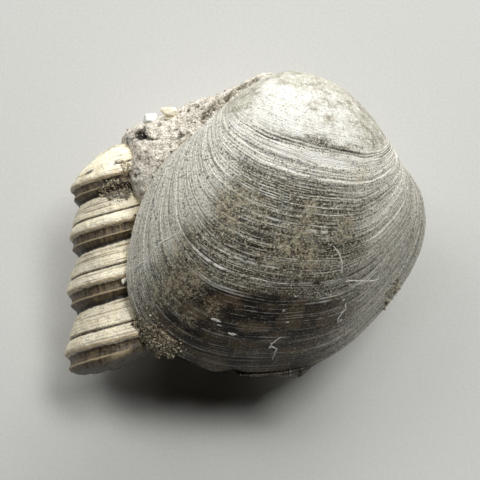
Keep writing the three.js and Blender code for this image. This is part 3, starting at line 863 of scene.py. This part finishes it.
def fossil_aragonite(tree, body):
    """Mineralised tower snail shell, chalky and matt: cream-white on the ribs, gold-tan along the keel, and
    brown under it with fine ribs across the whorl. Painted light and shade lie over its colours: the brown
    under the keel is partly painted shade, the hollows are darkened and the proud parts paled by how sunken
    they are, partly silt and partly painted shade and highlight, and the sutures are nearly black, partly
    silt and partly painted shade. The broken base is dark rough stone."""
    whorl, band, spiral = [
        add(tree, "Attribute", out="Vector", attribute_name=name) for name in ("whorl", "band", "spiral")
    ]
    sunken, under, broken, keel, suture, rib = [
        add(tree, "SeparateXYZ", {0: mask}, axis) for mask in (whorl, band) for axis in range(3)
    ]
    threads, ribs = [
        add(tree, "TexNoise", {
            "Vector": add(tree, "VectorMath", {0: spiral, 1: 1 / np.array(sizes)}, operation="MULTIPLY"),
            "Scale": 1.0, "Detail": 2.0, "Roughness": 0.6,
        })
        for sizes in ((12, 12, 0.38), (0.5, 0.5, 6))
    ]
    dust, fleck, cloud, worn = [
        add(tree, "TexNoise", {"Vector": body, "Scale": 1 / (pitch * MM), "Detail": detail, "Roughness": 0.6})
        for pitch, detail in ((0.32, 2), (0.8, 3), (2.2, 4), (6, 2))
    ]
    # This mask follows how sunken a place is, with fleck noise: the layers below paint the hollows dark,
    # partly silt and partly painted shade, and the proud parts pale as a painted highlight.
    silt = add(tree, "Math", {0: fleck, 1: 0.5, 2: sunken}, operation="MULTIPLY_ADD")
    return layered(tree, "#fdf3d6", [
        ("#ead9ae", cloud, 0.48, 0.64, 0.5),
        ("#cdc8b9", worn, 0.50, 0.62, 0.25),
        ("#7d6a48", threads, 0.43, 0.33, 0.8),
        ("#5f5240", fleck, 0.40, 0.30, 0.6),
        # Painted highlight on the proud parts, then painted shade with silt in the hollows.
        ("#fdfaf2", silt, 0.16, -0.06, 0.75),
        ("#b79458", keel, 0.3, 1.0, 0.7),
        ("#2f261a", silt, 0.33, 0.55, 0.95),
        ("#fbf8f0", dust, 0.58, 0.72, 0.55),
        # Painted shade: the underside of each keel is painted brown, partly its own colour and partly the
        # shade under the keel.
        ("#5b4b33", under, 0, 1, 0.95),
        ("#2e2318", ribs, 0.50, 0.38, 0.85, under),
        ("#a38e69", ribs, 0.56, 0.68, 0.6, under),
        ("#94815f", dust, 0.55, 0.66, 0.5, under),
        ("#2a2016", fleck, 0.46, 0.36, 0.6, under),
        ("#c4b28b", rib, 0.1, 1.0, 0.75),
        ("#1f1710", silt, 0.65, 1.1, 0.85),
        # Painted shade: nearly black along the sutures, partly silt; the mud patch in the same mask is real.
        ("#1c150e", suture, 0, 1, 0.92),
        ("#5d4f3b", dust, 0.44, 0.30, 0.5),
        ("#6a6154", broken, 0.0, 0.5, 1),
        ("#332c22", fleck, 0.52, 0.38, 0.85, broken),
        ("#b5aa96", dust, 0.56, 0.70, 0.6, broken),
    ]), add(tree, "Math", {0: fleck, 1: dust}, operation="ADD"), 0.16


def quartz_sandstone(tree, body):
    """Fine quartz sandstone with a lime cement, freshly broken: matt, pale and slightly pinkish grey, every
    grain its own tint, and painted dark in its hollows, nearly black in the deepest: painted shade. Its
    grains of 0.2 to 0.4 mm are drawn 0.6 mm wide, so that they show."""
    marks = add(tree, "Attribute", out="Vector", attribute_name="marks")
    hollow, seam, cream = [add(tree, "SeparateXYZ", {0: marks}, axis) for axis in range(3)]
    cells = {"Vector": body, "Scale": 1 / (0.6 * MM)}
    tint = add(tree, "SeparateColor", {0: add(tree, "TexVoronoi", cells, "Color")})
    edge = add(tree, "TexVoronoi", cells, feature="DISTANCE_TO_EDGE")
    dust, fleck, stain = [
        add(tree, "TexNoise", {"Vector": body, "Scale": 1 / (pitch * MM), "Detail": detail, "Roughness": 0.6})
        for pitch, detail in ((0.3, 2), (1.2, 3), (4, 4))
    ]
    return layered(tree, "#ded7c9", [
        ("#cfc7b7", stain, 0.42, 0.62, 1),
        ("#f3ede1", tint, 0.55, 0.75, 0.8),
        ("#bcb2a1", tint, 0.30, 0.15, 0.8),
        ("#756e5f", tint, 0.07, 0.03, 0.85),
        ("#999182", edge, 0.10, 0.02, 0.6),
        ("#f4ecd2", cream, 0, 1, 0.85),
        ("#89806f", fleck, 0.42, 0.30, 0.75),
        ("#8a8272", dust, 0.45, 0.33, 0.7),
        ("#f3eee6", dust, 0.58, 0.70, 0.6),
        ("#8a8268", seam, 0, 1, 0.55),
        ("#4a4430", fleck, 0.53, 0.42, 0.85, seam),
        # Painted shade: the hollows and crevices are painted dark, nearly black where deepest.
        ("#5c5443", hollow, 0.03, 0.20, 0.85),
        ("#1d1a13", hollow, 0.25, 0.55, 0.95),
    ]), add(tree, "Math", {0: edge, 1: dust}, operation="ADD"), 0.16


def loose_sand(tree, body, pale, common, deep):
    """Sand grains that cling to the fossils: clear quartz, tan and dark grains side by side."""
    kind = add(tree, "Attribute", out="Fac", attribute_name="kind")
    dust = add(tree, "TexNoise", {"Vector": body, "Scale": 1 / (0.15 * MM), "Detail": 1.0})
    color = layered(tree, common, [
        (deep, kind, 0.22, 0.05, 1), (pale, kind, 0.62, 0.95, 1), (deep, dust, 0.45, 0.30, 0.3),
    ])
    return color, dust, 0.04


def chalky_shell(tree, body, pale, deep, silt):
    """Broken shell or calcite: a pale chalky colour that deepens in soft patches, with silt in its pores."""
    dust, cloud = [
        add(tree, "TexNoise", {"Vector": body, "Scale": 1 / (pitch * MM), "Detail": 3.0, "Roughness": 0.6})
        for pitch in (0.3, 1.0)
    ]
    color = layered(tree, pale, [(deep, cloud, 0.42, 0.62, 1), (silt, dust, 0.42, 0.28, 0.6)])
    return color, dust, 0.08


def porcelain_white_shell(tree, body):
    """The tiny snail's smooth white shell, with painted shade for the hole of its mouth."""
    mouth = add(tree, "Attribute", out="Fac", attribute_name="mouth")
    cloud = add(tree, "TexNoise", {"Vector": body, "Scale": 1 / (0.5 * MM)})
    # Painted shade: the cap over the mouth is nearly black.
    color = layered(tree, "#efeadd", [("#cfc4ab", cloud, 0.3, 0.7, 1), ("#1d1813", mouth, 0, 1, 1)])
    return color, cloud, 0.02


def matt_board(tree, body):
    """The studio floor: plain pale grey board with a faint tooth."""
    tooth = add(tree, "TexNoise", {"Vector": body, "Scale": 1 / (0.6 * MM)})
    return layered(tree, "#d0d0cb", [("#cbcbc7", tooth, 0.3, 0.7, 1)]), tooth, 0.02


CALCITE_IOR, QUARTZ_IOR, BOARD_IOR = 1.58, 1.54, 1.5
# The clam's surface is rubbed and full of fine pores, which take away half its gloss.
RUBBED_CALCITE_IOR = 1.40

upper_shell = finished(
    "grey_brown_fossil_calcite", 0.40, RUBBED_CALCITE_IOR, fossil_calcite, "#706f62", "#685c47", "#19120d"
)
# The lower valve's calcite is a darker copy of the upper valve's: partly its own colour, partly painted shade
# for the valve that lies underneath.
lower_shell = finished(
    "dark_fossil_calcite", 0.5, RUBBED_CALCITE_IOR, fossil_calcite, "#6c685c", "#5f5748", "#1d1511"
)
snail_shell = finished("chalky_fossil_aragonite", 0.5, CALCITE_IOR, fossil_aragonite)
sandstone = finished("fine_quartz_sandstone", 0.9, QUARTZ_IOR, quartz_sandstone)
pale_sand = finished("pinkish_quartz_grains", 0.55, QUARTZ_IOR, loose_sand, "#f1ece2", "#d3cbbf", "#7d7468")
tan_sand = finished("tan_crust_grains", 0.55, QUARTZ_IOR, loose_sand, "#e2d8be", "#a0937a", "#33291b")
white_calcite = finished(
    "white_calcite_filling", 0.5, CALCITE_IOR, chalky_shell, "#f7f5ee", "#dad6ca", "#a19b8c"
)

# Pieces, with the columns and rows of their grids

valve("upper_valve", 1, UPPER_EDGE, 250, 388, upper_shell, "shell_upper")
valve("lower_valve", -1, LOWER_EDGE, 300, 220, lower_shell, "shell_lower")
snail(236, 376, 18, snail_shell)
stone_surface = stone(400, 240, sandstone)
for seed, (name, middle, half, colors, roughness) in enumerate(FRAGMENTS, 81):
    chalk = finished(f"chalky_{name}_shell", roughness, CALCITE_IOR, chalky_shell, *colors)
    fragment(name, middle, half, seed, chalk)
cracks(white_calcite)
chips(white_calcite)
tiny_snail(finished("smooth_white_shell", 0.35, CALCITE_IOR, porcelain_white_shell))
stone_grains(*stone_surface, pale_sand)
crust_grains(tan_sand)

# Floor, lights and camera

VIEW_ELEVATION = 75.0
VIEW_TARGET = (0, -4, 22.95)
VIEW_DISTANCE = 280.0
# The frame is 96 mm wide at the target.
VIEW_LENS, VIEW_SENSOR = 105.0, 36.0
# Soft studio lights that face the object: name, place and size in metres, and watts.
LIGHTS = [
    ("overhead_right", (0.300, 0.210, 0.822), (0.34, 0.22), 3.8),
    ("overhead_back", (-0.058, 0.331, 0.834), (0.5, 0.22), 1.4),
    ("low_back", (0.0, 0.87, 0.23), (0.4, 0.22), 2.6),
    ("low_back_middle", (0.21, 0.845, 0.23), (0.3, 0.2), 3.2),
    ("low_back_right", (0.408, 0.767, 0.233), (0.4, 0.22), 2.2),
    ("low_back_left", (-0.400, 0.680, 0.42), (0.6, 0.3), 0.4),
    ("left", (-0.45, 0.38, 0.70), (0.3, 0.3), 1.6),
]
LIGHT_TARGET = (0, 0, 0.02)
FLOOR_SIZE = 4.0

bpy.ops.mesh.primitive_plane_add(size=FLOOR_SIZE)
floor = bpy.context.object
floor.name = "floor"
floor.data.materials.append(finished("pale_matt_board", 0.85, BOARD_IOR, matt_board))

for name, place, (width, height), watts in LIGHTS:
    data = bpy.data.lights.new(name, "AREA")
    data.shape = "RECTANGLE"
    data.size, data.size_y = width, height
    data.energy = watts
    lamp = bpy.data.objects.new(name, data)
    bpy.context.scene.collection.objects.link(lamp)
    lamp.location = place
    aim = Vector(LIGHT_TARGET) - Vector(place)
    lamp.rotation_euler = aim.to_track_quat("-Z", "Y").to_euler()

world = bpy.data.worlds.new("studio")
world.use_nodes = True
background = world.node_tree.nodes["Background"]
background.inputs["Color"].default_value = linear("#f2f4f6")
background.inputs["Strength"].default_value = 0.004
bpy.context.scene.world = world
bpy.context.scene.view_settings.view_transform = "Standard"

tilt = np.radians(VIEW_ELEVATION)
towards = np.array([0, -np.cos(tilt), np.sin(tilt)])
camera_data = bpy.data.cameras.new("camera")
camera_data.lens = VIEW_LENS
camera_data.sensor_width = VIEW_SENSOR
camera_data.clip_start = 0.01
camera = bpy.data.objects.new("camera", camera_data)
bpy.context.scene.collection.objects.link(camera)
camera.location = (VIEW_TARGET + VIEW_DISTANCE * towards) * MM
camera.rotation_euler = (np.pi / 2 - tilt, 0, 0)
bpy.context.scene.camera = camera

bpy.context.view_layer.update()
